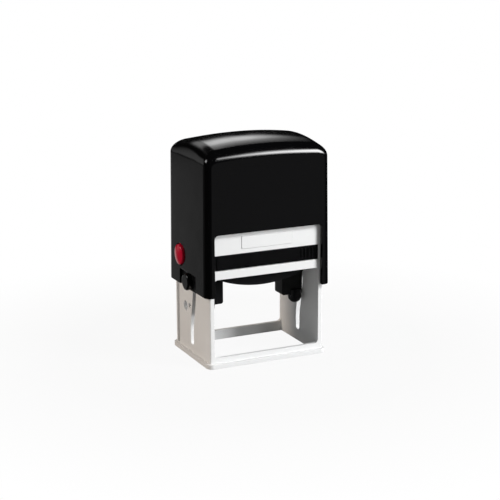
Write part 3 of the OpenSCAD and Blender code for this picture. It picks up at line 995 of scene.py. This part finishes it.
def paper_floor():
    """Matt grey paper, which throws a little soft light up at the stamp and shows its shadow faintly."""
    bpy.ops.object.select_all(action="DESELECT")
    bpy.ops.mesh.primitive_circle_add(vertices=128, radius=FLOOR_R, fill_type="NGON",
                                      location=(0, 0, FLOOR_Z))
    floor = bpy.context.active_object
    floor.name = "floor"
    paper, tree, shader, place_on = new_material("matt_grey_paper")
    shader.inputs["Base Color"].default_value = colour("#a8a8a8")
    shader.inputs["Roughness"].default_value = 0.9
    shader.inputs["Specular IOR Level"].default_value = 0.1
    reach = add(tree, "ShaderNodeVectorMath", {"operation": "LENGTH"}, {0: place_on})
    fade = add(tree, "ShaderNodeMapRange",
               {"From Min": FADE[0], "From Max": FADE[1], "To Min": WHITE_SHARE, "To Max": 1.0},
               {"Value": reach.outputs["Value"]})
    ray = add(tree, "ShaderNodeLightPath")
    share = add(tree, "ShaderNodeMath", {"operation": "MULTIPLY"},
                {0: fade.outputs["Result"], 1: ray.outputs["Is Camera Ray"]})
    white = add(tree, "ShaderNodeEmission", {"Strength": 1.0})
    mixed = add(tree, "ShaderNodeMixShader", None,
                {0: share.outputs["Value"], 1: shader.outputs["BSDF"], 2: white.outputs["Emission"]})
    tree.links.new(mixed.outputs["Shader"], tree.nodes["Material Output"].inputs["Surface"])
    floor.data.materials.append(paper)
    floor.visible_glossy = False


paper_floor()

# Studio: white behind the object for the camera, dim walls in reflections, and an even grey light
LAMP_AIM = (0, 0, 0.06)
AMBIENT = 0.12
DIM_WALLS = 0.006
# Bright patches that gloss mirrors: azimuth from the back to the right, elevation, half width and half height
# in degrees, level, and how much of the half width and the half height fades out
GLOWS = (
    (24, 29, 11.5, 11, 3.0, 0.9, 0.9),
    (4, 30, 18, 8.5, 1.0, 0.7, 0.8),
    (129, 40, 25, 27, 23.0, 0.8, 0.75),
    (-76, 42, 20, 15, 8.0, 0.8, 0.8),
    (-4, -26, 24, 16.6, 0.6, 0.9, 0.05),
    (-40, -20, 36, 14, 0.04, 0.7, 0.3),
    (-34, 5, 20, 13.2, 0.4, 0.9, 0.3),
    (155, -14, 22, 18, 0.12, 0.5, 0.4),
)


def glow(tree, way, azimuth, elevation, width, height, level, soft_x, soft_y):
    """One bright patch of the studio, fading towards its edges."""
    facing = add(tree, "ShaderNodeVectorRotate", {"rotation_type": "Z_AXIS", "Angle": math.radians(azimuth)},
                 {"Vector": way})
    split = add(tree, "ShaderNodeSeparateXYZ", None, {0: facing.outputs["Vector"]})
    side = add(tree, "ShaderNodeMath", {"operation": "ARCTAN2"},
               {0: split.outputs["X"], 1: split.outputs["Y"]})
    rise = add(tree, "ShaderNodeMath", {"operation": "ARCSINE"}, {0: split.outputs["Z"]})
    above = add(tree, "ShaderNodeMath", {"operation": "SUBTRACT", 1: math.radians(elevation)},
                {0: rise.outputs["Value"]})
    shares = {}
    for i, angle, half, soft, most in ((0, side, width, soft_x, level), (1, above, height, soft_y, 1.0)):
        size = add(tree, "ShaderNodeMath", {"operation": "ABSOLUTE"}, {0: angle.outputs["Value"]})
        shares[i] = add(tree, "ShaderNodeMapRange", {
            "interpolation_type": "SMOOTHSTEP", "From Min": math.radians(half),
            "From Max": math.radians(half * (1 - soft)), "To Min": 0.0, "To Max": most,
        }, {"Value": size.outputs["Value"]}).outputs["Result"]
    return add(tree, "ShaderNodeMath", {"operation": "MULTIPLY"}, shares).outputs["Value"]


def studio():
    """The world: its strength depends on whether the camera, gloss or a matt surface looks at it."""
    world = bpy.data.worlds.new("studio")
    bpy.context.scene.world = world
    world.use_nodes = True
    tree = world.node_tree
    background = tree.nodes["Background"].inputs
    ray = add(tree, "ShaderNodeLightPath").outputs
    way = add(tree, "ShaderNodeTexCoord").outputs["Generated"]
    total = {}
    for patch in GLOWS:
        total[1] = glow(tree, way, *patch)
        total[0] = add(tree, "ShaderNodeMath", {"operation": "ADD", 0: DIM_WALLS}, total).outputs["Value"]
    light = add(tree, "ShaderNodeMix", {"data_type": "FLOAT", 2: AMBIENT},
                {0: ray["Is Glossy Ray"], 3: total[0]})
    seen = add(tree, "ShaderNodeMath", {"operation": "MAXIMUM"},
               {0: ray["Is Camera Ray"], 1: ray["Is Transmission Ray"]})
    level = add(tree, "ShaderNodeMix", {"data_type": "FLOAT", 3: 1.0},
                {0: seen.outputs["Value"], 2: light.outputs[0]})
    background["Color"].default_value = (1, 1, 1, 1)
    tree.links.new(level.outputs[0], background["Strength"])


def softbox(name, spot, width, height, level, tint="#ffffff"):
    """A rectangular lamp that faces the stamp; its level is its brightness as seen, where 1 is white."""
    lamp = bpy.data.lights.new(name, "AREA")
    lamp.shape = "RECTANGLE"
    lamp.size, lamp.size_y = width, height
    lamp.energy = level * math.pi * width * height
    lamp.color = colour(tint)[:3]
    holder = bpy.data.objects.new(name, lamp)
    bpy.context.collection.objects.link(holder)
    holder.location = spot
    holder.rotation_mode = "QUATERNION"
    holder.rotation_quaternion = (Vector(LAMP_AIM) - Vector(spot)).to_track_quat("-Z", "Y")
    holder.visible_camera = holder.visible_glossy = False


studio()
softbox("key_softbox", (0.50, -0.60, 0.62), 0.30, 0.22, 31.0)
softbox("low_softbox", (0.75, -0.85, 0.28), 0.5, 0.4, 12.5)
softbox("top_softbox", (0, 0, 1.2), 0.5, 0.5, 0.5)
softbox("left_softbox", (-0.975, 0.207, 0.525), 0.3, 0.3, 20.5, "#fff0e2")

# Camera at the photograph's angle: turn, rise and roll in degrees, place in metres, focal length in pixels
CAMERA_ANGLES = (-25.02, 14.297, -0.248)
CAMERA_AT = (-0.27803, -0.59762, 0.21862)
FOCAL_PIXELS = 1382.9
PHOTO_WIDTH = 500
SENSOR = 36


def photo_camera():
    """The camera fitted to the photograph's edges."""
    turn, rise, roll = (math.radians(angle) for angle in CAMERA_ANGLES)
    back = Vector((math.sin(turn) * math.cos(rise), -math.cos(turn) * math.cos(rise), math.sin(rise)))
    right = Vector((math.cos(turn), math.sin(turn), 0))
    up = back.cross(right)
    right, up = right * math.cos(roll) + up * math.sin(roll), up * math.cos(roll) - right * math.sin(roll)
    view = bpy.data.cameras.new("camera")
    view.sensor_width = SENSOR
    view.lens = FOCAL_PIXELS / PHOTO_WIDTH * SENSOR
    view.clip_start, view.clip_end = 0.01, 20
    camera = bpy.data.objects.new("camera", view)
    bpy.context.collection.objects.link(camera)
    camera.matrix_world = Matrix((
        (right.x, up.x, back.x, CAMERA_AT[0]),
        (right.y, up.y, back.y, CAMERA_AT[1]),
        (right.z, up.z, back.z, CAMERA_AT[2]),
        (0, 0, 0, 1)))
    bpy.context.scene.camera = camera


photo_camera()
bpy.context.scene.view_settings.view_transform = "Standard"
